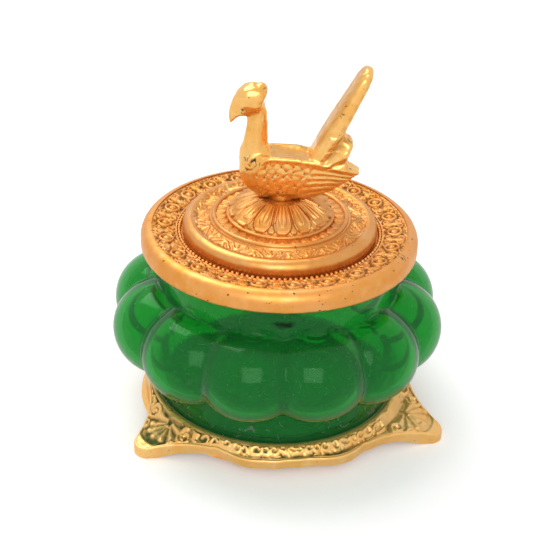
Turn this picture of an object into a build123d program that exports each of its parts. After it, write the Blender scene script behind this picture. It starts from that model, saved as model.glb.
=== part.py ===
from build123d import *
import math
import os

# Kumkum box: a lobed glass bowl in a three-cornered cast base, with a cast collar on its mouth
# and a loose round lid that carries a peacock. Millimetres, +Z up, the table at height 0.
# The upright axis of the bowl is the Z axis. The peacock looks along -X.

# Glass bowl
glass_radius = 32.6         # outside of the neck and of the foot
glass_wall = 2.4
glass_floor = 3.0
glass_height = 45.7
lobe_count = 12
lobe_radius = 12.0          # roundness of a lobe, seen from the side
lobe_offset = 0.3           # middle of a lobe's round, outside the neck
lobe_inset = 0.2            # upright axis of a lobe, inside the neck's inner wall
lobe_middle_height = 23.5   # above the underside of the glass
lobe_turn = 4.5             # angle of the valley between lobes, from the front

# Cast base, section from the glass outwards
ledge_height = 4.2          # ledge that the glass stands on
ledge_wall = 1.6
ledge_width = 4.6
foot_clearance = 0.5        # cement gap round the foot
foot_bed = 0.3              # cement under the foot
foot_cement_drop = 0.4      # the cement stops this far below the ring's land
ring_depth = 3.3            # ledge up to the land of the ring
ring_land = 2.1             # width of the smooth land on top of the ring
ring_round = 0.8
ring_slope = 1.7            # width of the slope from the land to the skirt
ring_drop = 2.1             # height of that slope
skirt_wall = 2.4
corner_height = 2.8         # top of a corner above the table
foot_flat_length = 3.4      # flat under a corner, measured back from its tip

# Cast base, seen from above: a round side with small lobes and a tab at each corner
corner_count = 3
side_width = 3.5            # socket of the glass to the round side
corner_length = 10.8        # round side to a corner's tip
corner_tip_radius = 3.6
corner_flank_radius = 30.0  # hollow curve between a corner's tip and the side
side_lobe_radius = 18.0
side_lobe_rise = 1.0        # how far a lobe stands out of the round side
side_lobe_angle = 43.0      # from the corner to a lobe, on each side of it
base_turn = 9.0             # angle at which the bowl was cemented on the base
base_shift_x = 1.6          # cast outline, off the middle of its socket
base_shift_y = -0.8

# Cast collar on the mouth
collar_wall = 3.5           # cement gap of the neck to the outside of the collar
collar_overlap = 1.5        # how far the collar hangs down past the glass rim
collar_floor = 1.6          # metal between the glass rim and the lid seat
collar_flange = 6.2         # how far the collar reaches in past the glass
collar_top_round = 2.9
collar_bottom_round = 0.8
collar_step = 0.35          # from the smooth outer band down to the ornament
collar_dish = 0.9           # fall of the ornamented face towards the mouth
neck_clearance = 0.4        # cement gap round the neck
rim_bed = 0.4               # cement on top of the glass rim
lid_seat_depth = 2.1        # lid seat below the top of the collar
bead_wire_width = 1.1
bead_wire_height = 1.1

# Lid, from the rim inwards
lid_overlap = 1.6           # mouth of the collar to the lid's edge
lid_edge_clearance = 0.3    # from the lid's edge to the beaded wire
lid_rim_height = 4.6
lid_roll_radius = 2.3       # rolled rim
lid_bottom_round = 1.0
lid_wall = 2.6
spigot_clearance = 0.4      # from the spigot to the mouth
spigot_wall = 1.5
spigot_depth = 3.2
rim_width = 4.0             # lid's edge to the ornamented border
border_width = 3.1
border_depth = 0.8          # recess of the ornamented border below the rim
field_rise = 0.4            # middle of the lid above the rim
wire_ring_inset = 1.1       # border to the middle of the raised wire ring
wire_ring_width = 1.2
wire_ring_height = 0.7
boss_inset = 3.2            # middle of the wire ring to the edge of the petalled boss
boss_edge = 0.6
boss_top_radius = 6.2
boss_height = 5.8
boss_fullness = 0.62        # share of the way out and down that the dome's curve passes

# Screw and washer that hold the peacock from below
screw_radius = 1.5
screw_hole_clearance = 0.15
thread_clearance = 0.03
screw_grip = 5.0            # length inside the peacock
screw_tip_space = 3.0       # blind end of the hole above the screw
screw_head_radius = 2.9
screw_head_height = 1.4
screw_slot_width = 0.8
screw_slot_depth = 0.7
washer_radius = 4.4
washer_thickness = 0.8

# Peacock: stem and body
stem_step = 1.8             # edge of the boss's top to the stem
stem_height = 0.6           # boss to the flat under the keel
stem_top_radius = 3.4
stem_sink = 1.8             # how far the stem runs up into the body
keel_trim = 0.75            # depth of the flat under the keel
body_depth = 12.6           # edge of a folded wing down to the keel
body_crown = 0.6            # back above the wing edges
body_half_width = 4.4
breast_x = -11.0
wing_tip_x = 19.9
breast_drop = 2.4           # breast below the wing edge's highest part
wing_tip_drop = 4.1         # wing tip below the wing edge's highest part

# Peacock: neck, head, tail and coverts, heights above the wing edge
neck_x = -7.2
neck_radius = 2.55
neck_root_depth = 4.3
head_x = -9.1
head_height = 14.3
head_radius = 4.4
head_half_width = 3.2
cheek_angle = 16.0          # size of the small flat on each cheek
beak_tip_x = -13.9
beak_tip_height = 8.3
beak_root_radius = 2.6
beak_tip_radius = 0.45
crest_x = -6.2
crest_height = 17.2
crest_radius = 1.5
tail_root_x = 9.6
tail_root_drop = 1.0
tail_angle = 65.4           # above level
tail_length = 26.9
tail_width = 9.4
tail_root_width = 7.8
tail_thickness = 3.0
covert_half_width = 3.6
covert_front_x = 8.0
covert_back_x = 17.4
covert_height = 5.2
covert_depth = 4.6          # root of the coverts below the wing edge
covert_tip_width = 2.6
covert_tip_inset = 0.8
covert_tip_drop = 1.6
covert_waist_inset = 0.9

# Radii that follow from the sizes above
lobe_axis_radius = glass_radius - glass_wall - lobe_inset
lobe_spread = glass_radius + lobe_offset - lobe_axis_radius
socket_radius = glass_radius + foot_clearance
ledge_radius = socket_radius - ledge_width
side_radius = socket_radius + side_width
corner_reach = side_radius + corner_length
collar_bore_radius = glass_radius + neck_clearance
collar_radius = collar_bore_radius + collar_wall
mouth_radius = glass_radius - glass_wall - collar_flange
lid_radius = mouth_radius + lid_overlap
bead_wire_radius = lid_radius + lid_edge_clearance + bead_wire_width / 2
border_outer_radius = lid_radius - rim_width
border_inner_radius = border_outer_radius - border_width
wire_ring_radius = border_inner_radius - wire_ring_inset
boss_radius = wire_ring_radius - boss_inset
stem_radius = boss_top_radius - stem_step
screw_hole_radius = screw_radius + screw_hole_clearance

# Levels that follow from the sizes above
ring_level = ledge_height + ring_depth
skirt_level = ring_level - ring_drop
glass_bottom = ledge_height + foot_bed
glass_top = glass_bottom + glass_height
lobe_level = glass_bottom + lobe_middle_height
collar_bottom = glass_top - collar_overlap
collar_ceiling = glass_top + rim_bed
lid_seat = collar_ceiling + collar_floor
collar_top = lid_seat + lid_seat_depth
lid_rim_top = lid_seat + lid_rim_height
lid_field = lid_rim_top + field_rise
lid_underside = lid_field - lid_wall
screw_head_top = lid_underside - washer_thickness
boss_top = lid_field + boss_height
keel_level = boss_top + stem_height
wing_level = keel_level - keel_trim + body_depth


def polar(radius, angle):
    return (radius * math.cos(math.radians(angle)), radius * math.sin(math.radians(angle)))


def turned(edges):
    # Full turn about the Z axis of a closed outline drawn in the XZ plane
    return revolve(make_face(Plane.XZ * (Curve() + edges)), Axis.Z)


def disc(radius, bottom, top):
    return extrude(Pos(0, 0, bottom) * Circle(radius), top - bottom)


def ring(inner_radius, outer_radius, bottom, top):
    return disc(outer_radius, bottom, top) - disc(inner_radius, bottom, top)


def half_round_ring(circle_radius, width, height, level):
    # Wire ring with a flat underside that lies on the given level
    edges = [
        Line((circle_radius - width / 2, level), (circle_radius + width / 2, level)),
        EllipticalCenterArc((circle_radius, level), width / 2, height, 0, arc_size=180),
    ]
    return turned(edges)


def corner_outline():
    # Tab towards +X: round tip, then a hollow flank that runs into the round side
    tip_middle = corner_reach - corner_tip_radius
    to_flank = side_radius + corner_flank_radius
    tip_to_flank = corner_tip_radius + corner_flank_radius
    flank_x = (to_flank ** 2 - tip_to_flank ** 2 + tip_middle ** 2) / (2 * tip_middle)
    flank = Vector(flank_x, math.sqrt(to_flank ** 2 - flank_x ** 2))
    on_side = flank * (side_radius / to_flank)
    tip = Vector(tip_middle, 0)
    on_tip = tip + (flank - tip) * (corner_tip_radius / tip_to_flank)
    between = (on_side + on_tip) * 0.5 - flank
    on_flank = flank + between.normalized() * corner_flank_radius
    upper = [on_side, on_flank, on_tip]
    lower = [Vector(point.X, -point.Y) for point in upper]
    edges = [
        Line((0, 0), on_side),
        ThreePointArc(*upper),
        ThreePointArc(on_tip, (corner_reach, 0), lower[2]),
        ThreePointArc(lower[2], lower[1], lower[0]),
        Line(lower[0], (0, 0)),
    ]
    return make_face(edges)


def base_outline():
    tab = corner_outline()
    lobe_middle = side_radius + side_lobe_rise - side_lobe_radius
    outline = Circle(side_radius)
    for corner in range(corner_count):
        heading = base_turn + 90 + corner * 360 / corner_count
        outline += Rot(0, 0, heading) * tab
        for side in (-1, 1):
            middle = polar(lobe_middle, heading + side * side_lobe_angle)
            outline += Pos(*middle) * Circle(side_lobe_radius)
    return outline


def base_casting():
    # Dished plate with a ring for the glass, trimmed to the three-cornered outline
    land_end = socket_radius + ring_land
    skirt_start = land_end + ring_slope
    foot_start = corner_reach - foot_flat_length
    beyond = corner_reach + corner_tip_radius
    section = Polyline(
        (socket_radius, ledge_height),
        (socket_radius, ring_level),
        (land_end, ring_level),
        (skirt_start, skirt_level),
        (corner_reach, corner_height),
        (beyond, corner_height),
        (beyond, 0),
        (foot_start, 0),
        (skirt_start, skirt_level - skirt_wall),
        (socket_radius, ledge_height - ledge_wall),
        (ledge_radius, ledge_height - ledge_wall),
        (ledge_radius, ledge_height),
        close=True,
    )
    plate = turned(section)
    circles = plate.edges().filter_by(GeomType.CIRCLE)
    land_edges = circles.filter_by_position(Axis.Z, ring_level, ring_level)
    plate = fillet(land_edges, min(ring_round, 0.4 * ring_land))
    return plate & extrude(Pos(base_shift_x, base_shift_y) * base_outline(), ring_level)


def foot_cement():
    # Bead of clear cement under and round the foot of the glass
    bed = ring(ledge_radius, socket_radius, ledge_height, glass_bottom)
    return bed + ring(glass_radius, socket_radius, glass_bottom, ring_level - foot_cement_drop)


def lobe(bulge_radius):
    # One bulge of the melon shape, turned about its own upright axis
    half_height = math.sqrt(bulge_radius ** 2 - lobe_spread ** 2)
    edges = [
        ThreePointArc((0, -half_height), (lobe_spread + bulge_radius, 0), (0, half_height)),
        Line((0, half_height), (0, -half_height)),
    ]
    return turned(edges)


def melon(core_radius, bulge_radius, bottom, top):
    # Upright round core with a ring of lobes
    step = 360 / lobe_count
    first = lobe_turn - 90 + step / 2
    one_lobe = Pos(lobe_axis_radius, 0, lobe_level) * Rot(0, 0, 180) * lobe(bulge_radius)
    lobes = [Rot(0, 0, first + number * step) * one_lobe for number in range(lobe_count)]
    return disc(core_radius, bottom, top) + lobes


def glass_bowl():
    outside = melon(glass_radius, lobe_radius, glass_bottom, glass_top)
    hollow = melon(glass_radius - glass_wall, lobe_radius - glass_wall, glass_bottom + glass_floor, glass_top)
    return outside - hollow


def neck_cement():
    sleeve = ring(glass_radius, collar_bore_radius, collar_bottom, glass_top)
    return sleeve + ring(glass_radius - glass_wall, collar_bore_radius, glass_top, collar_ceiling)


def collar_ring():
    # Round-edged band with a shallow dished face, a seat for the lid and a bore for the glass
    band_end = collar_radius - collar_top_round
    seat_end = bead_wire_radius + bead_wire_width / 2
    face_top = collar_top - collar_step
    side_start = collar_bottom + collar_bottom_round
    side_end = collar_top - collar_top_round
    edges = [
        Line((collar_bore_radius, collar_bottom), (collar_radius - collar_bottom_round, collar_bottom)),
        CenterArc((collar_radius - collar_bottom_round, side_start), collar_bottom_round, 270, 90),
        Line((collar_radius, side_start), (collar_radius, side_end)),
        CenterArc((band_end, side_end), collar_top_round, 0, 90),
        Polyline(
            (band_end, collar_top),
            (band_end, face_top),
            (seat_end, face_top - collar_dish),
            (seat_end, lid_seat),
            (mouth_radius, lid_seat),
            (mouth_radius, collar_ceiling),
            (collar_bore_radius, collar_ceiling),
            (collar_bore_radius, collar_bottom),
        ),
    ]
    return turned(edges)


def bead_wire():
    return half_round_ring(bead_wire_radius, bead_wire_width, bead_wire_height, lid_seat)


def lid_casting():
    # Plate with a rolled rim, a sunk border, a raised middle and a spigot that drops into the mouth
    roll_start = lid_radius - lid_roll_radius
    bottom_end = lid_radius - lid_bottom_round
    spigot_outside = mouth_radius - spigot_clearance
    spigot_inside = spigot_outside - spigot_wall
    spigot_end = lid_seat - spigot_depth
    edges = [
        Polyline(
            (screw_hole_radius, lid_underside),
            (spigot_inside, lid_underside),
            (spigot_inside, spigot_end),
            (spigot_outside, spigot_end),
            (spigot_outside, lid_seat),
            (bottom_end, lid_seat),
        ),
        CenterArc((bottom_end, lid_seat + lid_bottom_round), lid_bottom_round, 270, 90),
        Line((lid_radius, lid_seat + lid_bottom_round), (lid_radius, lid_rim_top - lid_roll_radius)),
        CenterArc((roll_start, lid_rim_top - lid_roll_radius), lid_roll_radius, 0, 90),
        Polyline(
            (roll_start, lid_rim_top),
            (border_outer_radius, lid_rim_top - border_depth),
            (border_inner_radius, lid_rim_top),
            (border_inner_radius, lid_field),
            (screw_hole_radius, lid_field),
            (screw_hole_radius, lid_underside),
        ),
    ]
    return turned(edges)


def lid_wire_ring():
    return half_round_ring(wire_ring_radius, wire_ring_width, wire_ring_height, lid_field)


def lotus_boss():
    # Petalled dome under the peacock
    edge_top = lid_field + boss_edge
    shoulder_radius = boss_top_radius + (boss_radius - boss_top_radius) * boss_fullness
    shoulder = (shoulder_radius, lid_field + boss_height * boss_fullness)
    edges = [
        Polyline(
            (screw_hole_radius, boss_top),
            (screw_hole_radius, lid_field),
            (boss_radius, lid_field),
            (boss_radius, edge_top),
        ),
        ThreePointArc((boss_radius, edge_top), shoulder, (boss_top_radius, boss_top)),
        Line((boss_top_radius, boss_top), (screw_hole_radius, boss_top)),
    ]
    return turned(edges)


def body_section(x, width_share, depth_share, drop):
    # Cross-section of the bird: keel below the wing edges, low crown above them
    half_width = body_half_width * width_share
    edge = wing_level - drop
    across = Plane(origin=(x, 0, 0), x_dir=(0, 1, 0), z_dir=(1, 0, 0))
    keel = EllipticalCenterArc((0, edge), half_width, body_depth * depth_share, 180, arc_size=180)
    back = ThreePointArc((half_width, edge), (0, edge + body_crown * width_share), (-half_width, edge))
    return make_face(across * (Curve() + [keel, back]))


def bird_body():
    # Place along the body, then shares of its width, of its depth and of the fall at that end
    stations = [
        (0.00, 0.34, 0.36, 1.00 * breast_drop),
        (0.05, 0.62, 0.62, 0.50 * breast_drop),
        (0.14, 0.86, 0.86, 0.20 * breast_drop),
        (0.28, 0.98, 0.99, 0.04 * breast_drop),
        (0.43, 1.00, 1.00, 0.00),
        (0.63, 0.95, 0.87, 0.11 * wing_tip_drop),
        (0.80, 0.76, 0.56, 0.33 * wing_tip_drop),
        (0.92, 0.46, 0.28, 0.65 * wing_tip_drop),
        (1.00, 0.16, 0.11, 1.00 * wing_tip_drop),
    ]
    length = wing_tip_x - breast_x
    return loft([body_section(breast_x + share * length, w, d, drop) for share, w, d, drop in stations])


def bird_neck():
    # Upright neck: share of its height, then its radius and its shift in neck radii
    stations = [
        (0.00, 1.69, 0.16),
        (0.27, 1.37, 0.00),
        (0.48, 1.10, 0.00),
        (0.72, 1.00, 0.14),
        (1.00, 1.06, -0.31),
    ]
    foot = wing_level - neck_root_depth
    height = head_height + neck_root_depth
    rings = [
        Pos(neck_x + shift * neck_radius, 0, foot + share * height) * Circle(radius * neck_radius)
        for share, radius, shift in stations
    ]
    return loft(rings)


def bird_head():
    # Flattened round head with a drooping beak and a knob at the back of the crest
    middle = wing_level + head_height
    swell = 180 - 2 * cheek_angle
    half = EllipticalCenterArc((0, 0), head_half_width, head_radius, cheek_angle, arc_size=swell)
    cheek = (half @ 0).X
    outline = make_face(Curve() + [half, Polyline(half @ 1, (-cheek, 0), (cheek, 0), half @ 0)])
    skull = Pos(head_x, 0, middle) * Rot(0, 0, 90) * revolve(outline, Axis.X)
    root = Vector(head_x - head_radius / 2, 0, middle - head_radius / 2)
    tip = Vector(beak_tip_x, 0, wing_level + beak_tip_height)
    along = Plane(origin=root, z_dir=tip - root)
    reach = (tip - root).length
    beak = loft([along * Circle(beak_root_radius), along.offset(reach) * Circle(beak_tip_radius)])
    knob = Pos(crest_x, 0, wing_level + crest_height) * Sphere(crest_radius)
    return skull + beak + knob


def bird_tail():
    # Upright tongue-shaped tail
    lean = math.radians(tail_angle)
    backwards = (math.sin(lean), 0, -math.cos(lean))
    root = (tail_root_x, 0, wing_level - tail_root_drop)
    flat = Plane(origin=root, x_dir=(0, 1, 0), z_dir=backwards)
    half = tail_width / 2
    root_half = tail_root_width / 2
    straight = tail_length - half
    edges = [
        Polyline((-half, straight), (-root_half, 0), (root_half, 0), (half, straight)),
        ThreePointArc((half, straight), (0, tail_length), (-half, straight)),
    ]
    return extrude(flat * make_face(Curve() + edges), tail_thickness / 2, both=True)


def bird_coverts():
    # Short fan of feathers behind the root of the tail
    top = wing_level + covert_height
    root = wing_level - covert_depth
    tip_back = covert_back_x - covert_tip_inset
    waist = covert_back_x - covert_waist_inset
    outline = Polyline(
        (covert_front_x, root),
        (covert_front_x, wing_level),
        (tip_back - covert_tip_width, top),
        (tip_back, top),
        (covert_back_x, top - covert_tip_drop),
        (waist, wing_level),
        (waist, root),
        close=True,
    )
    return extrude(make_face(Plane.XZ * outline), covert_half_width, both=True)


def stem():
    # Short flared foot that stands on the boss and runs up into the keel
    rise = stem_height + stem_sink
    edges = Polyline((0, 0), (stem_radius, 0), (stem_top_radius, rise), (0, rise), close=True)
    return Pos(0, 0, boss_top) * turned(edges)


def peacock():
    bird = bird_body() + bird_neck() + bird_head() + bird_tail() + bird_coverts()
    bird = split(bird, Plane.XY.offset(keel_level), keep=Keep.TOP)
    hole_top = boss_top + screw_grip + screw_tip_space
    return bird + stem() - disc(screw_radius + thread_clearance, boss_top, hole_top)


def finial_screw():
    # Slotted round-head screw, put in from below
    head_bottom = screw_head_top - screw_head_height
    slot_outline = Rectangle(2 * screw_head_radius, screw_slot_width)
    slot = extrude(Pos(0, 0, head_bottom) * slot_outline, screw_slot_depth)
    head = disc(screw_head_radius, head_bottom, screw_head_top) - slot
    return head + disc(screw_radius, screw_head_top, boss_top + screw_grip)


def finial_washer():
    return ring(screw_hole_radius, washer_radius, screw_head_top, lid_underside)


pieces = {
    "base_casting": base_casting(),
    "foot_cement": foot_cement(),
    "glass_bowl": glass_bowl(),
    "neck_cement": neck_cement(),
    "collar_ring": collar_ring(),
    "bead_wire": bead_wire(),
    "lid_casting": lid_casting(),
    "lid_wire_ring": lid_wire_ring(),
    "lotus_boss": lotus_boss(),
    "peacock": peacock(),
    "finial_screw": finial_screw(),
    "finial_washer": finial_washer(),
}

os.makedirs("parts", exist_ok=True)
for name, piece in pieces.items():
    export_step(piece, f"parts/{name}.step")
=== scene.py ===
from math import atan2, ceil, copysign, cos, degrees, exp, floor, hypot, pi, radians, sin, sqrt

import bmesh
import bpy
from mathutils import Matrix, Vector, noise


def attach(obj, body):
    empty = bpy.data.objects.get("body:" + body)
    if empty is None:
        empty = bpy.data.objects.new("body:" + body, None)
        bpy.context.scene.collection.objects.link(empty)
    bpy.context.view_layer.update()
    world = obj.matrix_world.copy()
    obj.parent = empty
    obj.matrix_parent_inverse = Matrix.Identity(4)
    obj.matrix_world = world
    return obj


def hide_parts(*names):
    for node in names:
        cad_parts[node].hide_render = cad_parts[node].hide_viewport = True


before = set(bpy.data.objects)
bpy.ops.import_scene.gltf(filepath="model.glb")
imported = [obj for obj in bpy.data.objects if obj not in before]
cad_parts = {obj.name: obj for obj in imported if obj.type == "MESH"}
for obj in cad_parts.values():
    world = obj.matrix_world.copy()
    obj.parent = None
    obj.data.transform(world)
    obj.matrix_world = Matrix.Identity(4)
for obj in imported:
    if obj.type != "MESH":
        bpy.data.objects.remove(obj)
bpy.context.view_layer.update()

noise.seed_set(12)  # without it noise_vector differs from run to run
mm = 0.001
fullTurn = 2 * pi
white = (1, 1, 1, 1)
scene = bpy.context.scene


class named(dict):  # a dictionary whose values are also read with a dot
    __getattr__ = dict.__getitem__


def hexColor(text):  # sRGB hex to linear
    parts = [int(text[k:k + 2], 16) / 255 for k in (1, 3, 5)]
    return [c / 12.92 if c <= 0.04045 else ((c + 0.055) / 1.055) ** 2.4 for c in parts] + [1.0]


def addNode(tree, kind, settings=None, links=None):
    node = tree.nodes.new("ShaderNode" + kind)
    for name, value in (settings or {}).items():
        if isinstance(name, str) and hasattr(node, name):
            setattr(node, name, value)
        else:
            node.inputs[name].default_value = value
    for name, source in (links or {}).items():
        tree.links.new(source, node.inputs[name])
    return node


def reckon(tree, operation, *values, clamp=False):  # arithmetic on numbers and sockets
    settings = {"operation": operation, "use_clamp": clamp}
    links = {}
    for k, value in enumerate(values):
        if isinstance(value, float):
            settings[k] = value
        else:
            links[k] = value
    return addNode(tree, "Math", settings, links).outputs[0]


def ranged(tree, value, start, end, toStart=0.0, toEnd=1.0):  # one range of a value laid over another
    settings = {"From Min": start, "From Max": end, "To Min": toStart, "To Max": toEnd}
    return addNode(tree, "MapRange", settings, {"Value": value}).outputs[0]


def mixed(tree, share, under, over):  # a hex colour laid over a hex colour or over a colour socket
    settings = {"data_type": "RGBA", 7: hexColor(over)}
    links = {0: share}
    if isinstance(under, str):
        settings[6] = hexColor(under)
    else:
        links[6] = under
    return addNode(tree, "Mix", settings, links).outputs[2]


def clouds(tree, place, size, detail, roughness=0.5):  # noise with patches of a size in mm
    settings = {"Scale": 1 / (size * mm), "Detail": detail, "Roughness": roughness}
    return addNode(tree, "TexNoise", settings, {"Vector": place}).outputs[0]


def bumped(tree, height, strength, deep, normal=None):  # deep in mm
    links = {"Height": height}
    if normal is not None:
        links["Normal"] = normal
    return addNode(tree, "Bump", {"Strength": strength, "Distance": deep * mm}, links).outputs[0]


def newMaterial(name):  # an empty material and its nodes
    material = bpy.data.materials.new(name)
    material.use_nodes = True
    material.node_tree.nodes.clear()
    return material, material.node_tree


def placeOn(tree):  # the place on the piece
    return addNode(tree, "TexCoord").outputs["Object"]


def surface(tree, settings, links):
    shader = addNode(tree, "BsdfPrincipled", settings, links)
    return addNode(tree, "OutputMaterial", {}, {"Surface": shader.outputs[0]})


def ease(low, high, x):  # 0 to 1 with soft ends
    t = min(max((x - low) / (high - low), 0.0), 1.0)
    return t * t * (3 - 2 * t)


def bell(x, width):  # 1 in the middle, falling away to both sides
    return exp(-(x / width) ** 2)


def softMax(a, b, blend):  # the larger of two, with a rounded crease
    h = max(blend - abs(a - b), 0.0) / blend
    return max(a, b) + h * h * blend * 0.25


def around(co, count, turn=0.0):  # which of count repeats a point is in, and where in it, -0.5 to 0.5
    share = atan2(co.y, co.x) / fullTurn * count + turn
    cell = floor(share + 0.5)
    return cell, share - cell


def curl(middle, radii, start, sweep, count=14):  # points along a scroll, angles in degrees
    points = []
    for k in range(count + 1):
        share = k / count
        radius = radii[0] + (radii[1] - radii[0]) * share
        angle = radians(start + sweep * share)
        points.append((middle[0] + radius * cos(angle), middle[1] + radius * sin(angle)))
    return points


def arc(middle, radius, start, end, count):
    return curl(middle, (radius, radius), start, end - start, count)


def stroke(points, wide, tall):  # a raised line of the ornament, half widths at its two ends
    reach = max(wide)
    across = [p[0] for p in points]
    along = [p[1] for p in points]
    box = (min(across) - reach, max(across) + reach, min(along) - reach, max(along) + reach)
    return {"points": points, "wide": wide, "tall": tall, "box": box}


strokeCrown = 0.6  # below 1, so the top of a stroke is broad
tiny = 1e-9


def relief(strokes, u, v):  # height of the tallest stroke over a point
    best = 0.0
    for line in strokes:
        box = line["box"]
        if u < box[0] or u > box[1] or v < box[2] or v > box[3]:
            continue
        points = line["points"]
        start, end = line["wide"]
        last = max(len(points) - 1, 1)
        for k in range(len(points) - 1):
            ax, ay = points[k]
            bx, by = points[k + 1]
            dx, dy = bx - ax, by - ay
            t = ((u - ax) * dx + (v - ay) * dy) / (dx * dx + dy * dy or tiny)
            t = min(max(t, 0.0), 1.0)
            gap = hypot(u - ax - dx * t, v - ay - dy * t)
            half = start + (end - start) * (k + t) / last
            if gap < half:
                best = max(best, line["tall"] * (1 - (gap / half) ** 2) ** strokeCrown)
    return best


mendGap = 0.003  # mm, corners nearer than this become one


def mendMesh(bm):
    bmesh.ops.remove_doubles(bm, verts=bm.verts[:], dist=mendGap)
    bmesh.ops.recalc_face_normals(bm, faces=bm.faces[:])


wedges = 20  # one wedge is spun and then copied, which is much quicker than one long spin


def turned(profile, steps, spacing, closed):  # a profile (out, up, own spacing) spun round the upright axis
    bm = bmesh.new()
    verts = [bm.verts.new((p[0], 0, p[1])) for p in profile]
    pairs = list(zip(verts, verts[1:], profile))
    if closed:
        pairs.append((verts[-1], verts[0], profile[-1]))
    for a, b, point in pairs:
        edge = bm.edges.new((a, b))
        cuts = int(edge.calc_length() / (point[2] if len(point) > 2 else spacing))
        for left in range(cuts, 0, -1):  # even cuts, each taken off the end next to b
            cut = bmesh.utils.edge_split(edge, b, 1 / (left + 1))[1]
            edge = [e for e in cut.link_edges if b not in e.verts][0]
            b = cut
    axis = {"cent": (0, 0, 0), "axis": (0, 0, 1), "dvec": (0, 0, 0)}
    wedge = fullTurn / wedges
    bmesh.ops.spin(bm, geom=bm.verts[:] + bm.edges[:], angle=wedge, steps=steps // wedges, **axis)
    bmesh.ops.spin(bm, geom=bm.verts[:] + bm.edges[:] + bm.faces[:], angle=fullTurn - wedge,
                   steps=wedges - 1, use_duplicate=True, **axis)
    mendMesh(bm)
    return bm


def emboss(bm, heightAt):  # moves each vertex along its normal, and keeps how much painted shade it gets and how bare it is
    hollow = bm.verts.layers.float.new("hollow")
    worn = bm.verts.layers.float.new("worn")
    bm.normal_update()
    moves = []
    for vert in bm.verts:
        height, deep, bare = heightAt(vert.co, vert.normal)
        vert[hollow] = deep
        vert[worn] = bare
        if height:
            moves.append((vert, vert.normal * height))
    for vert, move in moves:
        vert.co += move


chipLook = named(reach=1.2, core=0.6, streak=(0.04, 0.14), pitch=0.75)


def chipped(co, chips):  # thin bare streaks inside each knocked place, 0 away from it
    bare = 0.0
    for x, y, z, size in chips:
        gap = sqrt((co.x - x) ** 2 + (co.y - y) ** 2 + (co.z - z) ** 2)
        if gap < chipLook.reach * size:
            crack = abs(noise.noise(co * chipLook.pitch + Vector((0, 0, x))))
            streak = 1 - ease(*chipLook.streak, crack)
            bare = max(bare, (1 - ease(chipLook.core, 1.0, gap / size)) * streak)
    return bare


castSharp = 58  # degrees, edges sharper than this stay sharp
roundSharp = 80


def makePiece(bm, name, body, node, material, sharpAngle=castSharp):
    bmesh.ops.scale(bm, vec=(mm, mm, mm), verts=bm.verts[:])
    for face in bm.faces:
        face.smooth = True
    for edge in bm.edges:
        edge.smooth = edge.calc_face_angle(0.0) < radians(sharpAngle)
    mesh = bpy.data.meshes.new(name)
    bm.to_mesh(mesh)
    bm.free()
    mesh.materials.append(material)
    piece = bpy.data.objects.new(name, mesh)
    scene.collection.objects.link(piece)
    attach(piece, body)
    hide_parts(node)
    print("made", name, len(mesh.polygons), "faces")


# camera, as the photograph sees the box: place in mm, turn in degrees
photoCamera = named(place=(3.033, -344.129, 237.181), turn=(59.845, -1.925, 1.523), lens=95.221, near=0.01)
cameraData = bpy.data.cameras.new("photoCamera")
cameraData.lens = photoCamera.lens
cameraData.clip_start = photoCamera.near
camera = bpy.data.objects.new("photoCamera", cameraData)
camera.location = [c * mm for c in photoCamera.place]
camera.rotation_euler = [radians(a) for a in photoCamera.turn]
scene.collection.objects.link(camera)
scene.camera = camera

# a white studio in metres: soft lamp behind on the left, another in front, pale table
studio = named(
    ambient=0.62, keyPower=3.7, keySize=0.6, keyPlace=(-0.27, 0.34, 0.80), fillPower=3.2, fillSize=0.6,
    fillPlace=(0.02, -0.80, 0.54), aim=(0, 0, 0.04), table="#F7F7F6", tableHalf=0.7, tableRough=0.9,
    tableGloss=0.1, glow=0.19)
scene.view_settings.view_transform = "Standard"
world = bpy.data.worlds.new("whiteStudio")
scene.world = world
world.use_nodes = True
skyTree = world.node_tree
skyTree.nodes.clear()
rays = addNode(skyTree, "LightPath").outputs
seen = reckon(skyTree, "MAXIMUM", rays["Is Camera Ray"], rays["Is Glossy Ray"])
seen = reckon(skyTree, "MAXIMUM", seen, rays["Is Transmission Ray"])
level = ranged(skyTree, seen, 0.0, 1.0, studio.ambient, 1.0)
sky = addNode(skyTree, "Background", {"Color": white}, {"Strength": level})
addNode(skyTree, "OutputWorld", {}, {"Surface": sky.outputs[0]})
for lampName in ("key", "fill"):
    lampData = bpy.data.lights.new(lampName, "AREA")
    lampData.energy = studio[lampName + "Power"]
    lampData.size = studio[lampName + "Size"]
    lamp = bpy.data.objects.new(lampName, lampData)
    lamp.location = studio[lampName + "Place"]
    lamp.rotation_euler = (Vector(studio.aim) - lamp.location).to_track_quat("-Z", "Y").to_euler()
    scene.collection.objects.link(lamp)

tableBm = bmesh.new()
bmesh.ops.create_grid(tableBm, x_segments=1, y_segments=1, size=studio.tableHalf)
tableMesh = bpy.data.meshes.new("tableTop")
tableBm.to_mesh(tableMesh)
tableBm.free()
table = bpy.data.objects.new("tableTop", tableMesh)
scene.collection.objects.link(table)
# matt white paper: even, no gloss; its far parts go white to the eye, and the shadow stays
paper, paperTree = newMaterial("mattPaper")
glow = reckon(paperTree, "MULTIPLY", addNode(paperTree, "LightPath").outputs["Is Camera Ray"], studio.glow)
paperLook = {"Base Color": hexColor(studio.table), "Roughness": studio.tableRough,
             "Specular IOR Level": studio.tableGloss, "Emission Color": white}
surface(paperTree, paperLook, {"Emission Strength": glow})
tableMesh.materials.append(paper)
print("studio ready")
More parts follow.
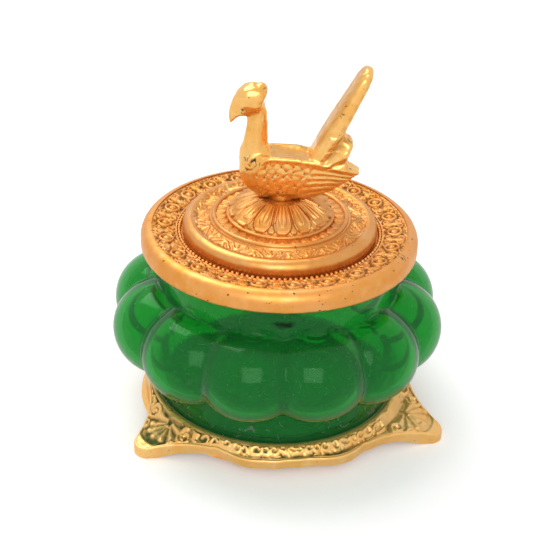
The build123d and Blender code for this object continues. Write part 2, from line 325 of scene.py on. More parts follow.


# gold-lacquered cast white metal: warm satin gold, mottled where the lacquer is thick, patchy painted shade
# in the hollows of the casting, small black pits and bare knocked spots
def giltCasting(name, look):
    material, tree = newMaterial(name)
    place = placeOn(tree)
    mottle = clouds(tree, place, look.mottle, 4.0, 0.6)
    gold = mixed(tree, ranged(tree, mottle, *look.mottleEnds), look.gold, look.deep)
    bloom = clouds(tree, place, look.bloom, 3.0)
    gold = mixed(tree, ranged(tree, bloom, *look.bloomEnds, 0.0, look.bloomShare), gold, look.pale)
    # painted shade in the hollows: a vertex attribute, made patchy by noise, mixed towards the hollow colour
    deep = addNode(tree, "Attribute", {"attribute_name": "hollow"}).outputs["Fac"]
    grime = ranged(tree, clouds(tree, place, look.grime, 3.0), *look.grimeEnds, look.grimeLow, 1.0)
    shadeShare = reckon(tree, "MULTIPLY", deep, grime, clamp=True)
    gold = mixed(tree, shadeShare, gold, look.hollow)
    pits = clouds(tree, place, look.pit, 1.0)
    pitShare = ranged(tree, pits, look.pitFrom, look.pitFrom + look.pitSoft)
    bare = addNode(tree, "Attribute", {"attribute_name": "worn"}).outputs["Fac"]
    dark = reckon(tree, "MAXIMUM", pitShare, bare, clamp=True)
    gold = mixed(tree, dark, gold, look.bare)
    metallic = ranged(tree, dark, 0.0, 1.0, look.metal, look.bareMetal)
    rough = ranged(tree, mottle, *look.roughEnds, *look.rough)
    rough = reckon(tree, "MULTIPLY_ADD", shadeShare, look.hollowRough, rough, clamp=True)
    normal = bumped(tree, clouds(tree, place, look.grain, 3.0), *look.grainBump)
    normal = bumped(tree, bloom, *look.bloomBump, normal)
    surface(tree, {}, {"Base Color": gold, "Metallic": metallic, "Roughness": rough, "Normal": normal})
    return material


# sizes in mm: how wide the cloudy patches, pits and grain are; a bump is its strength and its depth
giltLook = named(
    gold="#E3A05C", deep="#DC933E", pale="#EEB874", hollow="#A4641C", bare="#1E1408", metal=0.95,
    bareMetal=0.2, rough=(0.24, 0.36), roughEnds=(0.3, 0.7), hollowRough=0.25, mottle=9.0,
    mottleEnds=(0.38, 0.66), bloom=3.2, bloomEnds=(0.52, 0.72), bloomShare=0.35, grime=1.6,
    grimeEnds=(0.3, 0.62), grimeLow=0.45, pit=1.0, pitFrom=0.745, pitSoft=0.05, grain=0.55,
    grainBump=(0.16, 0.12), bloomBump=(0.3, 0.25))
# the base's hollows are painted olive: painted shade together with a painted reflection of the green glass
baseLook = named(giltLook, gold="#F6C276", deep="#EAB05C", pale="#FBD896", hollow="#424C0E", grime=2.4,
                grimeLow=0.3, metal=0.55, rough=(0.26, 0.38))
collarLook = named(giltLook, hollow="#8A581E", pitFrom=0.72, rough=(0.36, 0.46))
# the lid's gilt is set darker and the bird's paler than the collar's: painted shade and painted light in
# copies of the one gilt
lidLook = named(giltLook, gold="#DA9D5C", deep="#D28E42", pale="#E4B072", hollow="#BA7632", rough=(0.3, 0.4))
birdLook = named(giltLook, gold="#F3BE70", deep="#E9A952", pale="#F8D08A", hollow="#8A5216", pitFrom=0.735,
                metal=0.94, rough=(0.2, 0.3))
baseGilt = giltCasting("giltCastMetalBase", baseLook)
collarGilt = giltCasting("giltCastMetalCollar", collarLook)
lidGilt = giltCasting("giltCastMetalLid", lidLook)
birdGilt = giltCasting("giltCastMetalBird", birdLook)

# green soda glass, blown in a lobed mould: clear, deep green where it is thick, a little wavy, with seeds,
# faint streaks, a dark smudge on the neck and short pale scratches low on the foot; sizes in mm
glass = named(
    green="#48E070", streak="#3ED664", streakSize=7.0, streakLong=(1.0, 1.0, 0.35), seedPitch=4.4,
    seedEnds=(0.035, 0.06), smudge="#072A0E", smudgePlace=(2.6, -32.5, 43.4), smudgeFlat=(0.42, 1.0, 1.3),
    smudgeEnds=(2.0, 3.1), smudgeGrain=1.5, smudgeRagged=3.0, scratch="#DCF2D8", scratchSize=5.0,
    scratchLine=(0.5, 0.016), breakSize=2.0, breakFrom=0.58, scratchEnds=(15.0, 20.0), scratchHigh=0.15,
    rough=(0.015, 0.3), wave=16.0, waveBump=(0.35, 0.5), through=0.88, bend=1.38, gloss=0.1,
    glossTint="#A4D4AC", depth="#50CC74", density=320)
greenGlass, tree = newMaterial("greenSodaGlass")
place = placeOn(tree)
stretch = addNode(tree, "Mapping", {"Scale": glass.streakLong}, {"Vector": place}).outputs[0]
green = mixed(tree, clouds(tree, stretch, glass.streakSize, 3.0), glass.green, glass.streak)
seeds = addNode(tree, "TexVoronoi", {"Scale": 1 / (glass.seedPitch * mm)}, {"Vector": place})
seedShare = ranged(tree, seeds.outputs["Distance"], *glass.seedEnds, 1.0, 0.0)
flat = addNode(tree, "Mapping", {"Scale": glass.smudgeFlat}, {"Vector": place}).outputs[0]
smudgeMiddle = [c * mm * f for c, f in zip(glass.smudgePlace, glass.smudgeFlat)]
toSmudge = addNode(tree, "VectorMath", {"operation": "DISTANCE", 1: smudgeMiddle}, {0: flat})
ragged = clouds(tree, place, glass.smudgeGrain, 3.0)
smudgeGap = reckon(tree, "MULTIPLY_ADD", ragged, glass.smudgeRagged * mm, toSmudge.outputs["Value"])
smudgeShare = ranged(tree, smudgeGap, *[c * mm for c in glass.smudgeEnds], 1.0, 0.0)
green = mixed(tree, smudgeShare, green, glass.smudge)
lines = reckon(tree, "COMPARE", clouds(tree, place, glass.scratchSize, 0.0), *glass.scratchLine)
broken = reckon(tree, "GREATER_THAN", clouds(tree, place, glass.breakSize, 0.0), glass.breakFrom)
upright = addNode(tree, "SeparateXYZ", {}, {0: place}).outputs["Z"]
onFoot = ranged(tree, upright, *[c * mm for c in glass.scratchEnds], 1.0, glass.scratchHigh)
scratch = reckon(tree, "MULTIPLY", reckon(tree, "MULTIPLY", lines, broken), onFoot)
green = mixed(tree, scratch, green, glass.scratch)
marks = reckon(tree, "MAXIMUM", reckon(tree, "MAXIMUM", seedShare, scratch), smudgeShare)
rough = ranged(tree, marks, 0.0, 1.0, *glass.rough)
waves = bumped(tree, clouds(tree, place, glass.wave, 1.0), *glass.waveBump)
glassOutput = surface(tree, {"Transmission Weight": glass.through, "IOR": glass.bend,
                             "Specular IOR Level": glass.gloss,
                             "Specular Tint": hexColor(glass.glossTint)},
                      {"Base Color": green, "Roughness": rough, "Normal": waves})
depth = addNode(tree, "VolumeAbsorption", {"Color": hexColor(glass.depth), "Density": glass.density})
tree.links.new(depth.outputs[0], glassOutput.inputs["Volume"])

# cured clear cement: dull, cloudy, a little yellow
cementLook = named(pale="#B4A878", dark="#8E8456", cloud=2.5, bump=(0.3, 0.2), rough=0.55)
cement, tree = newMaterial("curedClearCement")
cloud = clouds(tree, placeOn(tree), cementLook.cloud, 4.0)
surface(tree, {"Roughness": cementLook.rough},
        {"Base Color": mixed(tree, cloud, cementLook.pale, cementLook.dark),
         "Normal": bumped(tree, cloud, *cementLook.bump)})

# zinc-plated steel: grey and turned, with fine rings
zincLook = named(pale="#B8B8B2", dark="#9C9C98", ring=18.0, wobble=0.6, bump=(0.2, 0.05), rough=0.38)
zinc, tree = newMaterial("zincPlatedSteel")
ringLook = {"wave_type": "RINGS", "rings_direction": "Z", "Scale": 1 / (zincLook.ring * mm),
            "Distortion": zincLook.wobble}
rings = addNode(tree, "TexWave", ringLook, {"Vector": placeOn(tree)}).outputs[0]
surface(tree, {"Metallic": 1.0, "Roughness": zincLook.rough},
        {"Base Color": mixed(tree, rings, zincLook.pale, zincLook.dark),
         "Normal": bumped(tree, rings, *zincLook.bump)})
for nodeName, material in (("foot_cement", cement), ("neck_cement", cement), ("finial_screw", zinc),
                           ("finial_washer", zinc)):
    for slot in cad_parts[nodeName].material_slots:
        slot.material = material
print("materials ready")

# glass bowl: straight foot and neck, twelve round lobes between; steps are the spacings along its profile
bowl = named(
    radius=32.6, wall=2.4, bottom=4.5, floor=3.0, top=50.2, lobes=12, level=28.0, tube=11.98, spread=2.9,
    axis=30.0, firstLobe=-70.5, steps=440, rows=46, crease=0.9, shoulder=1.4, lip=0.7, roundStep=0.4,
    wallStep=1.3, lobeStep=2.0, flatStep=6.0, skin=0.01)
bowlInner = bowl.radius - bowl.wall
innerTube = bowl.tube - bowl.wall


def lobedRadius(angle, z, core, tube):
    pitch = fullTurn / bowl.lobes
    turn = (angle - radians(bowl.firstLobe)) % pitch
    radius = core
    drop = tube * tube - (z - bowl.level) ** 2
    if drop > 0:
        reach = bowl.spread + sqrt(drop)
        lobes = []
        for off in (turn, pitch - turn):
            side = bowl.axis * sin(off)
            if reach > side:
                lobes.append(bowl.axis * cos(off) + sqrt(reach * reach - side * side))
        if len(lobes) == 2:
            radius = softMax(core, softMax(lobes[0], lobes[1], bowl.crease), bowl.shoulder)
        elif lobes:
            radius = softMax(core, lobes[0], bowl.shoulder)
    return radius


def bowlProfile():
    outer, top, bottom, lip = bowl.radius, bowl.top, bowl.bottom, bowl.lip
    floorTop = bottom + bowl.floor
    fine, plain, flat = bowl.roundStep, bowl.wallStep, bowl.flatStep
    rows = [cos(pi * k / bowl.rows) for k in range(bowl.rows + 1)]
    outside = [(outer, bowl.level - bowl.tube * row, bowl.lobeStep) for row in rows]
    inside = [(bowlInner, bowl.level + innerTube * row, bowl.lobeStep) for row in rows]
    outside[-1] = (outer, outside[-1][1], plain)
    inside[-1] = (bowlInner, inside[-1][1], plain)
    foot = [(0, bottom, flat), (outer - 1.0, bottom, fine), (outer - 0.3, bottom + 0.3, fine),
            (outer, bottom + 1.0, plain)]
    mouth = [(outer, top - lip, fine), (outer - lip, top, fine), (bowlInner + lip, top, fine),
             (bowlInner, top - lip, plain)]
    well = [(bowlInner, floorTop + 1.2, fine), (bowlInner - 0.4, floorTop + 0.35, fine),
            (bowlInner - 1.3, floorTop, flat), (0, floorTop)]
    return foot + outside + mouth + inside + well


bm = turned(bowlProfile(), bowl.steps, bowl.lobeStep, False)
for vert in bm.verts:
    out = hypot(vert.co.x, vert.co.y)
    angle = atan2(vert.co.y, vert.co.x)
    if out > bowl.radius - bowl.skin:
        swollen = lobedRadius(angle, vert.co.z, bowl.radius, bowl.tube)
    elif abs(out - bowlInner) < bowl.skin:
        swollen = lobedRadius(angle, vert.co.z, bowlInner, innerTube)
    else:
        continue
    vert.co.x *= swollen / out
    vert.co.y *= swollen / out
bmesh.ops.recalc_face_normals(bm, faces=bm.faces[:])
makePiece(bm, "lobedGlassBowl", "stand", "glass_bowl", greenGlass, roundSharp)

# collar: smooth rounded band outside, border of rosettes and curls inside it, ledge under the lid
collar = named(
    bore=33.0, outer=36.5, bottom=48.7, ceiling=50.6, top=54.3, seat=52.2, mouth=24.0, bandEnd=33.6,
    borderEnd=27.0, borderHigh=53.95, borderLow=53.05, topRound=2.9, bottomRound=0.8, steps=880,
    spacing=0.8, rosettes=22, middle=30.3, ground=-0.28, margin=(0.15, 0.12), fade=(0.4, 0.3), overSeat=0.4,
    groove=0.35, waver=0.04, wander=0.22, warp=(0.4, 0.3), grain=0.07, speck=0.85,
    chips=[(31.6, -14.5, 53.6, 1.3), (-29.0, -15.5, 53.7, 0.7), (8.0, -36.2, 51.4, 0.6),
    (-20.5, -30.2, 51.9, 0.5)])
rosetteHalf = pi * collar.middle / collar.rosettes
# one rosette drawn in mm: a ring with a button, curls and leaves to both sides, dots and a line at its edges
rosette = [stroke(curl((0, 0), (1.75, 1.75), 0, 360, 20), (0.42, 0.42), 0.62),
           stroke([(0, 0), (0.01, 0)], (0.95, 0.95), 0.78)]
for side in (-1, 1):
    edge = side * rosetteHalf
    rosette += [stroke([(edge, -2.7), (edge, -0.15)], (0.2, 0.72), 0.5),
                stroke([(edge, 0.15), (edge, 2.7)], (0.72, 0.2), 0.5)]
    for way in (-1, 1):
        rosette += [
            stroke(curl((side * 3.05, way * 1.55), (1.15, 0.35), way * (90 - side * 150), way * side * 430),
                   (0.4, 0.26), 0.55),
            stroke([(side * 2.0, way * 2.75), (side * 1.0, way * 2.3)], (0.45, 0.25), 0.4)]
rosette += [stroke([(k * 1.08, 2.95), (k * 1.08 + 0.01, 2.95)], (0.36, 0.36), 0.34) for k in range(-4, 5)]
rosette.append(stroke([(-rosetteHalf, -3.05), (rosetteHalf, -3.05)], (0.26, 0.26), 0.3))


def collarHeight(co, normal):
    out = hypot(co.x, co.y)
    bare = chipped(co, collar.chips)
    high = co.z > collar.seat + collar.overSeat
    fromLedge = out - collar.borderEnd - collar.margin[0]
    fromBand = collar.bandEnd - collar.margin[1] - out
    if normal.z < 0.5 or fromLedge < 0 or fromBand < 0 or not high:
        # painted shade in the groove between the band and the border
        groove = bell(out - collar.bandEnd, collar.groove) if normal.z > 0.1 and high else 0.0
        return collar.waver * noise.noise(co * 0.5), 0.5 * groove, bare
    cell, share = around(co, collar.rosettes)
    u = share * 2 * rosetteHalf
    wander = collar.wander * sin(cell * 7.3) * (1 - abs(u) / rosetteHalf)
    warp = noise.noise_vector(co * 0.3)
    lift = relief(rosette, u + wander + collar.warp[0] * warp.x,
                  out - collar.middle + collar.warp[1] * warp.y)
    rise = ease(0, collar.fade[0], fromLedge) * ease(0, collar.fade[1], fromBand)
    height = (collar.ground + lift + collar.grain * noise.noise(co * 1.6)) * rise
    speck = collar.speck * (1 - ease(0.0, 0.14, lift)) * ease(0.2, 0.4, noise.noise(co * 1.1)) * rise
    # painted shade in the low ground between the rosettes' strokes
    return height, (1 - ease(0.05, 0.5, lift)) * rise, max(bare, speck)


profile = [(collar.bore, collar.bottom)]
profile += arc((collar.outer - collar.bottomRound, collar.bottom + collar.bottomRound),
               collar.bottomRound, -90, 0, 4)
profile += arc((collar.outer - collar.topRound, collar.top - collar.topRound),
               collar.topRound, 0, 90, 10)
profile += [(collar.bandEnd, collar.borderHigh, 0.23), (collar.borderEnd, collar.borderLow, 0.5),
            (collar.borderEnd, collar.seat, 1.0), (collar.mouth, collar.seat, 1.0),
            (collar.mouth, collar.ceiling, 3.0), (collar.bore, collar.ceiling, 1.0)]
bm = turned(profile, collar.steps, collar.spacing, True)
emboss(bm, collarHeight)
makePiece(bm, "embossedCollar", "stand", "collar_ring", collarGilt)

# bead row: tiny cast beads in the corner where the border meets the lid's ledge
beads = named(count=122, circle=26.45, radius=0.55, level=52.75, uneven=0.05, segments=8, rings=6)
bm = bmesh.new()
for k in range(beads.count):
    turn = fullTurn * k / beads.count
    size = beads.radius * (1 + beads.uneven * sin(k * 2.7))
    spot = (beads.circle * cos(turn), beads.circle * sin(turn), beads.level)
    bmesh.ops.create_uvsphere(bm, u_segments=beads.segments, v_segments=beads.rings, radius=size,
                              matrix=Matrix.Translation(spot))
makePiece(bm, "beadRow", "stand", "bead_wire", collarGilt, roundSharp)

# lid: rolled rim, sunk border with a wavy vine, ring of small leaves, spigot below
lid = named(
    radius=25.6, seat=52.2, rimTop=56.8, roll=2.3, bottomRound=1.0, field=57.2, underside=54.6,
    spigot=(22.1, 23.6), spigotEnd=49.0, valley=(21.6, 56.0), borderIn=(18.5, 56.8), borderOut=23.2,
    hole=1.65, steps=780, spacing=0.8, repeats=14, middle=20.95, turn=0.2, ground=-0.12, margin=0.05,
    fade=(0.3, 0.25), waver=0.05, vineHigh=0.75, grain=0.06, line=(22.75, 0.2, 0.3), buds=(14.25, 16.65),
    budCount=34, budWide=1.25, budHigh=0.38, budRib=0.12, leafBand=(14.1, 17.0),
    chips=[(-6.0, -24.0, 56.0, 0.5), (15.0, -17.0, 56.4, 0.4)])
vineHalf = pi * lid.middle / lid.repeats
# one wave of the vine drawn in mm, with a three-part leaf in each bend and a curl between
vine = [stroke([(vineHalf * k / 10, -1.35 * cos(pi * k / 10)) for k in range(-10, 11)], (0.4, 0.4), 0.5)]
for middle, way in ((0, 1), (-vineHalf, -1), (vineHalf, -1)):
    vine.append(stroke([(middle, -0.9 * way), (middle, 1.85 * way)], (0.7, 0.16), 0.5))
    for lean in (-1.6, 1.6):
        vine.append(stroke([(middle, -0.5 * way), (middle + lean, 1.2 * way)], (0.6, 0.16), 0.45))
for side in (-1, 1):
    for way in (-1, 1):
        tendril = curl((side * vineHalf / 2, way * 1.45), (0.6, 0.25), way * (90 - side * 120),
                       way * side * 380, 10)
        vine.append(stroke(tendril, (0.24, 0.2), 0.35))


def lidHeight(co, normal):
    out = hypot(co.x, co.y)
    bare = chipped(co, lid.chips)
    budStart, budEnd = lid.buds
    if normal.z > 0.9 and co.z > lid.field - lid.margin and budStart < out < budEnd:
        share = around(co, lid.budCount)[1]
        side = share * fullTurn / lid.budCount * out
        along = (out - budStart) / (budEnd - budStart)
        leaf = 1 - (side / (lid.budWide * sqrt(max(along * (1.05 - along) * 4, 0.01)))) ** 2
        rib = 1 - ease(0, 0.25, abs(side))
        height = lid.budHigh * ease(0, 0.7, leaf) - lid.budRib * rib * ease(0, 0.5, leaf)
        # painted shade between the small leaves and along their middle ribs
        return height, 0.5 * (1 - ease(-0.2, 0.3, leaf)) + 0.3 * rib, bare
    fromField = out - lid.borderIn[0] - lid.margin
    fromRim = lid.borderOut - out
    if normal.z < 0.3 or co.z < lid.underside + 0.6 or fromField < 0 or fromRim < 0:
        return lid.waver * noise.noise(co * 0.45), 0.0, bare
    share = around(co, lid.repeats, lid.turn)[1]
    lineAt, lineWide, lineHigh = lid.line
    lift = max(relief(vine, share * 2 * vineHalf, out - lid.middle), lineHigh * bell(out - lineAt, lineWide))
    rise = ease(0, lid.fade[0], fromField) * ease(0, lid.fade[1], fromRim)
    height = (lid.ground + lid.vineHigh * lift + lid.grain * noise.noise(co * 1.4)) * rise
    # painted shade in the low ground between the vine's strokes
    return height, 0.5 * (1 - ease(0.05, 0.42, lift)) * rise, bare


borderIn, borderTop = lid.borderIn
spigotIn, spigotOut = lid.spigot
profile = [(lid.hole, lid.field, 3.0), (lid.leafBand[0], lid.field, 0.22),
           (lid.leafBand[1], lid.field, 0.6), (borderIn, lid.field, 0.3),
           (borderIn + 0.15, borderTop, 0.24), (*lid.valley, 0.24)]
profile += arc((lid.radius - lid.roll, lid.rimTop - lid.roll), lid.roll, 90, 0, 12)
profile += arc((lid.radius - lid.bottomRound, lid.seat + lid.bottomRound), lid.bottomRound, 0, -90, 5)
profile += [(spigotOut, lid.seat, 1.0), (spigotOut, lid.spigotEnd, 1.0), (spigotIn, lid.spigotEnd, 2.0),
            (spigotIn, lid.underside, 6.0), (lid.hole, lid.underside, 2.0)]
bm = turned(profile, lid.steps, lid.spacing, True)
emboss(bm, lidHeight)
makePiece(bm, "rolledLid", "lid", "lid_casting", lidGilt)

# wire ring soldered on the lid
wire = named(circle=17.4, halfWidth=0.6, height=0.7, steps=300, spacing=2.0, waver=0.03, grime=0.35)


def wireHeight(co, normal):
    # painted shade where the wire meets the lid
    return wire.waver * noise.noise(co * 0.9), wire.grime * (1 - ease(0.0, 0.4, co.z - lid.field)), 0.0


profile = []
for angle in range(0, 181, 18):
    turn = radians(angle)
    profile.append((wire.circle + wire.halfWidth * cos(turn), lid.field + wire.height * sin(turn)))
bm = turned(profile, wire.steps, wire.spacing, True)
emboss(bm, wireHeight)
makePiece(bm, "lidWire", "lid", "lid_wire_ring", lidGilt)

# lotus: ring of petals that climb to the waist under the bird
lotus = named(
    radius=14.2, edge=0.6, waist=6.2, top=62.7, fullness=0.72, petals=14, tip=13.85, shoulder=11.3,
    steps=500, spacing=1.0, rows=44, hole=1.65, turn=0.35, margin=0.12, neck=4.4, ground=-0.4,
    petalHigh=0.62, petalDish=0.3, betweenHigh=0.45, tongueHigh=0.42, tongueRib=0.22, grime=0.3,
    waistGrime=0.65)


def petalEdge(out, side, width, tip, shoulder):  # how far inside a petal's outline a point is, in mm
    arcWidth = width * pi / lotus.petals * out
    if out > shoulder:
        share = min((out - shoulder) / (tip - shoulder), 1.0)
        arcWidth *= sqrt(1 - share * share)
    return min(arcWidth - abs(side) * out, (tip - out) * 0.9)


def lotusHeight(co, normal):
    out = hypot(co.x, co.y)
    fromEdge = lotus.radius - lotus.margin - out
    # near the waist the upward faces get painted shadow from the bird above
    if normal.z < 0.15 or fromEdge < 0 or out < lotus.neck:
        return 0.0, 0.6 if out < lotus.neck + 0.1 and normal.z > 0 else 0.0, 0.0
    tip, shoulder = lotus.tip, lotus.shoulder
    side = around(co, lotus.petals, lotus.turn)[1] * fullTurn / lotus.petals
    inside = petalEdge(out, side, 0.95, tip, shoulder)
    tongue = petalEdge(out, side, 0.52, tip - 1.6, shoulder - 1.2)
    between = petalEdge(out, pi / lotus.petals - abs(side), 0.42, lotus.radius - 0.35, shoulder + 1.2)
    height = lotus.ground
    if inside > 0:
        height += lotus.petalHigh * ease(0, 0.28, inside) - lotus.petalDish * ease(0.45, 0.8, inside)
    elif out > shoulder and between > 0:
        height += lotus.betweenHigh * ease(0, 0.4, between)
    if tongue > 0:
        rib = 1 - ease(0, 0.22, abs(side) * out)
        height += lotus.tongueHigh * ease(0, 0.3, tongue) - lotus.tongueRib * rib
    rise = ease(0, 0.35, fromEdge)
    # painted shade between the petals, and painted shadow round the waist under the bird
    waist = 1 - ease(4.6, 7.4, out)
    deep = max(lotus.grime * (1 - ease(-0.3, 0.12, height)), lotus.waistGrime * waist)
    return height * rise * ease(lotus.neck, 7.0, out), deep * rise, 0.0


petalFoot = Vector((lotus.radius, lid.field + lotus.edge))
petalTop = Vector((lotus.waist, lotus.top))
bend = Vector((lotus.waist + (lotus.radius - lotus.waist) * lotus.fullness,
               lid.field + (lotus.top - lid.field) * lotus.fullness))
profile = [(lotus.hole, lid.field, 4.0), (lotus.radius, lid.field, 0.3)]
for k in range(lotus.rows + 1):
    t = k / lotus.rows
    point = petalFoot * (1 - t) ** 2 + bend * (2 * t * (1 - t)) + petalTop * t * t
    profile.append((point.x, point.y, lotus.spacing))
profile += [(5.2, lotus.top + 0.1, 0.4), (4.3, lotus.top + 0.15, 0.4), (3.6, lotus.top, 2.0),
            (lotus.hole, lotus.top, 2.0)]
bm = turned(profile, lotus.steps, lotus.spacing, True)
emboss(bm, lotusHeight)
makePiece(bm, "lotusPetals", "lid", "lotus_boss", lidGilt)

# base: smooth ring round the glass foot, skirt with scrollwork, three corners with a shell leaf
base = named(
    socket=33.1, ledge=28.5, ledgeTop=4.2, ledgeUnder=2.6, ringTop=7.5, ringEnd=34.3, side=36.6, reach=47.4,
    cornerTop=2.8, foot=44.0, tipRadius=3.6, flankRadius=30.0, lobeRadius=18.0, lobeRise=1.0,
    lobeAngle=43.0, corner=99.0, shift=(1.6, -0.8), rim=0.75, rimBead=0.12, steps=900, spacing=1.0,
    ground=-0.4, skirtIn=36.9, skirtTop=5.4, skirtUnder=3.0, slopeTop=7.35, slopeEnd=37.0, floor=0.02,
    scallop=0.4, waver=0.05, warp=(1.6, 0.7), liftShare=0.8, grain=0.12, leafHigh=0.5,
    leafBand=(0.15, 1.35), chips=[(-30.0, -24.5, 3.6, 0.8), (12.0, -35.5, 4.5, 0.7),
    (40.0, -18.0, 3.0, 0.7)])
tipMiddle = base.reach - base.tipRadius
flankReach = base.tipRadius + base.flankRadius
sideReach = base.side + base.flankRadius
flankX = (tipMiddle ** 2 - flankReach ** 2 + sideReach ** 2) / (2 * tipMiddle)
flankY = sqrt(sideReach ** 2 - flankX ** 2)
tipAngle = degrees(atan2(base.tipRadius * flankY / flankReach,
                         tipMiddle + base.tipRadius * (flankX - tipMiddle) / flankReach))
flankAngle = degrees(atan2(flankY, flankX))


def fromCorner(angle):  # degrees from the nearest corner of the base, -60 to 60
    return (angle - base.corner + 60) % 120 - 60


def outlineReach(angle):  # how far out the edge of the base is, from its own middle
    off = abs(fromCorner(angle))
    turn = radians(off)
    if off < tipAngle:
        return tipMiddle * cos(turn) + sqrt(base.tipRadius ** 2 - (tipMiddle * sin(turn)) ** 2)
    reach = base.side
    lobeAxis = base.side + base.lobeRise - base.lobeRadius
    for lobe in (base.lobeAngle, 120 - base.lobeAngle):
        lobeTurn = radians(off - lobe)
        drop = base.lobeRadius ** 2 - (lobeAxis * sin(lobeTurn)) ** 2
        if drop > 0:
            reach = max(reach, lobeAxis * cos(lobeTurn) + sqrt(drop))
    if off < flankAngle:
        along = flankX * cos(turn) + flankY * sin(turn)
        reach = max(reach, along - sqrt(along ** 2 - sideReach ** 2 + base.flankRadius ** 2))
    return reach


def edgeReach(angle):  # the same edge, from the middle of the bowl
    reach = outlineReach(degrees(angle))
    for _ in range(6):
        x = reach * cos(angle) - base.shift[0]
        y = reach * sin(angle) - base.shift[1]
        reach += outlineReach(degrees(atan2(y, x))) - hypot(x, y)
    return reach


def skirtTop(out, ownOut):
    slope = base.slopeTop - 1.95 * ease(base.ringEnd + 0.2, base.slopeEnd, out)
    skirt = max(base.cornerTop, base.skirtTop - (ownOut - base.skirtIn) * 2.6 / 10.5)
    return max(slope if out < base.slopeEnd else 0.0, min(skirt, base.skirtTop + 0.2))


def skirtUnder(ownOut):
    share = (base.foot - ownOut) / (base.foot - base.skirtIn)
    return base.skirtUnder * min(max(share, 0.0), 1.0)


# scrolls along each side, drawn as distance from the corner's middle line and distance from the smooth ring
scrollSizes = [(11.4, 2.1), (15.3, 1.6), (18.4, 1.3), (21.2, 1.35), (24.1, 1.45), (27.1, 1.5), (30.1, 1.45),
               (32.9, 1.3), (35.4, 1.15), (37.6, 1.0)]
scrolls = []
for k, (start, size) in enumerate(scrollSizes):
    way = 1 if k % 2 else -1
    scrollUp = size * (0.9 + 0.12 * sin(k * 5.1))
    scroll = curl((start, scrollUp), (size, size * 0.4), 90 - way * 110, way * 350, 18)
    leaf = [(start + size * 0.9, size * (1 - 0.8 * way)), (start + size * 1.35, size * (1 + 0.8 * way))]
    bud = [(start - size * 0.2, size * (1 + way)), (start + size * 0.7, size * (1 + 1.1 * way))]
    scrolls += [stroke(scroll, (0.62, 0.45), 0.85), stroke(leaf, (0.7, 0.3), 0.75),
                stroke(bud, (0.5, 0.3), 0.6)]
# shell leaf and volutes of a corner, drawn along and across the corner's middle line
shell = named(middle=36.6, length=6.6, ribs=7, slot=1.0, spread=100, low=0.22, high=0.5)
volutes = []
for side in (-1, 1):
    outer = curl((37.0, side * 7.0), (2.2, 0.6), 90 - side * 240, side * 500, 18)
    inner = curl((40.6, side * 6.0), (1.5, 0.5), 90 + side * 60, -side * 420, 14)
    volutes += [stroke(outer, (0.7, 0.5), 0.9), stroke(inner, (0.6, 0.45), 0.8),
                stroke([(36.6, side * 1.2), (37.0, side * 4.4)], (0.5, 0.3), 0.6)]


def scrollwork(t, x, y, off, ownOut, fromRim, width):  # how high the carving is, and how much painted shade lies in its ground
    a = ownOut * cos(radians(off))
    b = ownOut * sin(radians(off))
    warp = noise.noise_vector(Vector((x, y, 0)) * 0.3)  # hand-cut, so no two curls are alike
    along = radians(abs(off)) * base.slopeEnd + base.warp[0] * warp.x
    across = t * width + base.warp[1] * warp.y
    lift = relief(scrolls, along, across) if abs(off) > 12 else 0.0
    leafStart, leafEnd = base.leafBand
    if leafStart < across < leafEnd:  # short leaves along the smooth ring, patchy as in an old mould
        patchy = ease(-0.15, 0.25, noise.noise(Vector((x, y, 7)) * 0.35))
        leaf = sin((across - leafStart) / (leafEnd - leafStart) * pi) * abs(cos(along * 1.75))
        lift = max(lift, base.leafHigh * patchy * leaf)
    lift = max(lift, relief(volutes, a, b))
    fan = hypot(a - shell.middle, b)
    fanTurn = degrees(atan2(b, a - shell.middle))
    if fan < shell.length and abs(fanTurn) < shell.spread:
        ribs = 0.5 + 0.5 * cos(radians(fanTurn) * shell.ribs * 1.8)
        fade = ease(0.3, 0.9, fan) * ease(0, 0.6, shell.length * (0.9 + 0.1 * ribs) - fan)
        lift = max(lift, (shell.low + shell.high * ribs) * fade)
    plainTip = ease(0, 0.4, fan - shell.length - shell.slot) if abs(fanTurn) < 75 and a > 40 else 0.0
    ground = ease(0.0, 0.08, t) * ease(0.0, 0.35, fromRim) * (1 - plainTip)
    grain = base.grain * noise.noise(Vector((x, y, 3)) * 1.1)
    lessShadeRight = 0.8 * ease(14, 32, x)  # less painted shade and painted reflection towards the right
    height = (base.ground + base.liftShare * lift + grain) * ground
    # painted shade and painted green reflection in the carving's ground
    return height, ground * (1 - ease(0.12, 0.68, lift)) * (1 - lessShadeRight)


# the skirt is spun as a flat ruler: marks 0 to 1 are its top, to 2 the rim, to 3 the edge, to 4 the underside
ruler = named(start=100, topRows=40, rimRows=8, underRows=14, uncut=200.0, slack=0.0001)
reachAt = {}


